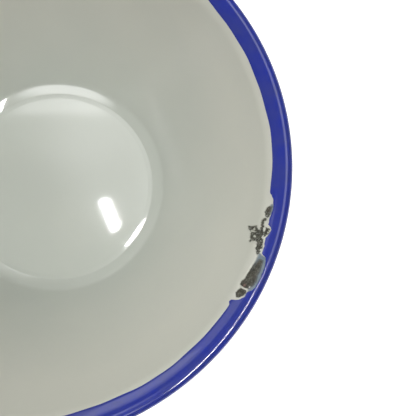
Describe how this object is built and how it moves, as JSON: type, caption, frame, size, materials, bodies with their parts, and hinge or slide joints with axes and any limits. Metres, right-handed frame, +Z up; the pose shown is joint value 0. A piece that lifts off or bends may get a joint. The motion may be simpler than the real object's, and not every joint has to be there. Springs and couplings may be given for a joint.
{
  "type": "round enamelled steel bowl",
  "caption": "Round white enamelled steel bowl with a flat floor, flaring wall and chipped blue rolled rim, for lotions and dressings.",
  "frame": {"origin": "centre of the flat ring that the bowl stands on, at the bottom of its box", "axes": "+Z up along the bowl's axis; the chips are on the +X side of the rim, a little towards -Y"},
  "size_m": [0.16, 0.16, 0.0624],
  "materials": {
    "steel": "satin",
    "ground_coat": "matte",
    "white_enamel": "gloss",
    "blue_enamel": "gloss"
  },
  "bodies": {
    "root": {"steel_bowl": "steel", "inner_ground_coat": "ground_coat", "outer_ground_coat": "ground_coat", "inner_white_enamel": "white_enamel", "outer_white_enamel": "white_enamel", "blue_rim_enamel": "blue_enamel"}
  },
  "joints": []
}
